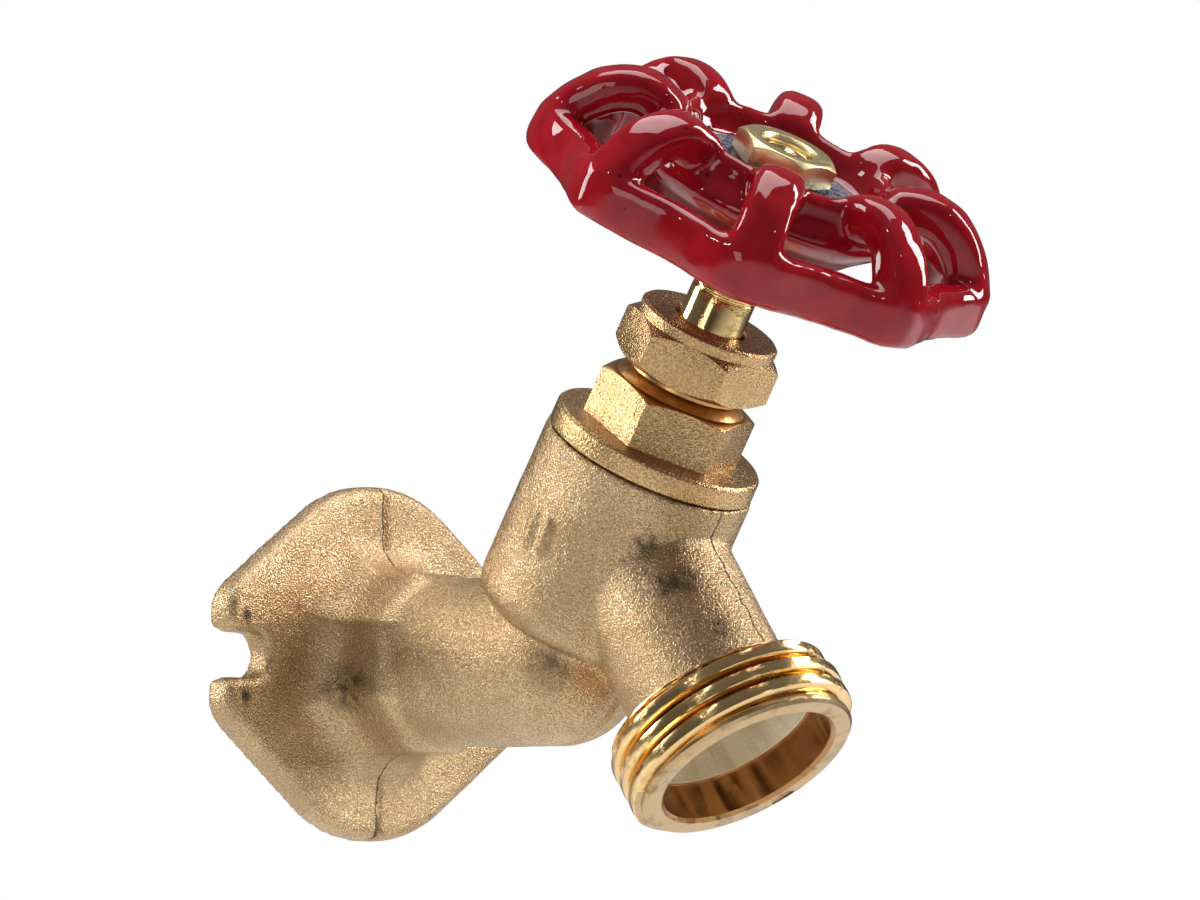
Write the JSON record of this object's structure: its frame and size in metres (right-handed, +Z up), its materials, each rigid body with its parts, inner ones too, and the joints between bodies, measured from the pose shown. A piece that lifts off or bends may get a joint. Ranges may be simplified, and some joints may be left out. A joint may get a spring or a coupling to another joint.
{
  "type": "hose bib",
  "caption": "Wall-mounted hose bib: flanged solder inlet, leaning handwheel stem with a rubber seat washer, and an angled garden-hose outlet.",
  "frame": {"origin": "centre of the inlet on the flange's wall face", "axes": "+Z up, +Y into the wall along the inlet, -Y out towards the user, +X to the right seen from the front; the stem leans out by 29.2 degrees in the YZ plane"},
  "size_m": [0.0538, 0.0813, 0.0864],
  "materials": {
    "cast_brass": "sand-cast, lightly polished",
    "bonnet_brass": "forged and tumbled",
    "turned_brass": "turned bright",
    "nut_brass": "satin",
    "red_enamel": "thick dipped gloss enamel",
    "plate_metal": "brushed, printed ring",
    "seat_rubber": "moulded",
    "gasket_fibre": "pressed fibre",
    "packing": "graphited cord ring"
  },
  "bodies": {
    "valve": {"valve_body": "cast_brass", "bonnet": "bonnet_brass", "bonnet_gasket": "gasket_fibre", "packing_washer": "turned_brass", "stem_packing": "packing", "packing_nut": "bonnet_brass"},
    "seat_disc": {"seat_washer": "seat_rubber"},
    "spindle": {"stem": "turned_brass", "seat_washer_screw": "turned_brass", "handwheel": "red_enamel", "index_plate": "plate_metal", "handle_nut": "nut_brass"}
  },
  "joints": [
    {"name": "stem_rise", "type": "slide", "parent": "valve", "child": "seat_disc", "axis": [0, -0.4879, 0.8729], "range_m": [0, 0.00635]},
    {"name": "stem_turn", "type": "hinge", "parent": "seat_disc", "child": "spindle", "pos_m": [0, -0.02975, 0], "axis": [0, -0.4879, 0.8729], "range_deg": [0, 900]}
  ],
  "couplings": [
    {"joint": "stem_turn", "follows": "stem_rise", "rad_per_m": 2473.7}
  ]
}
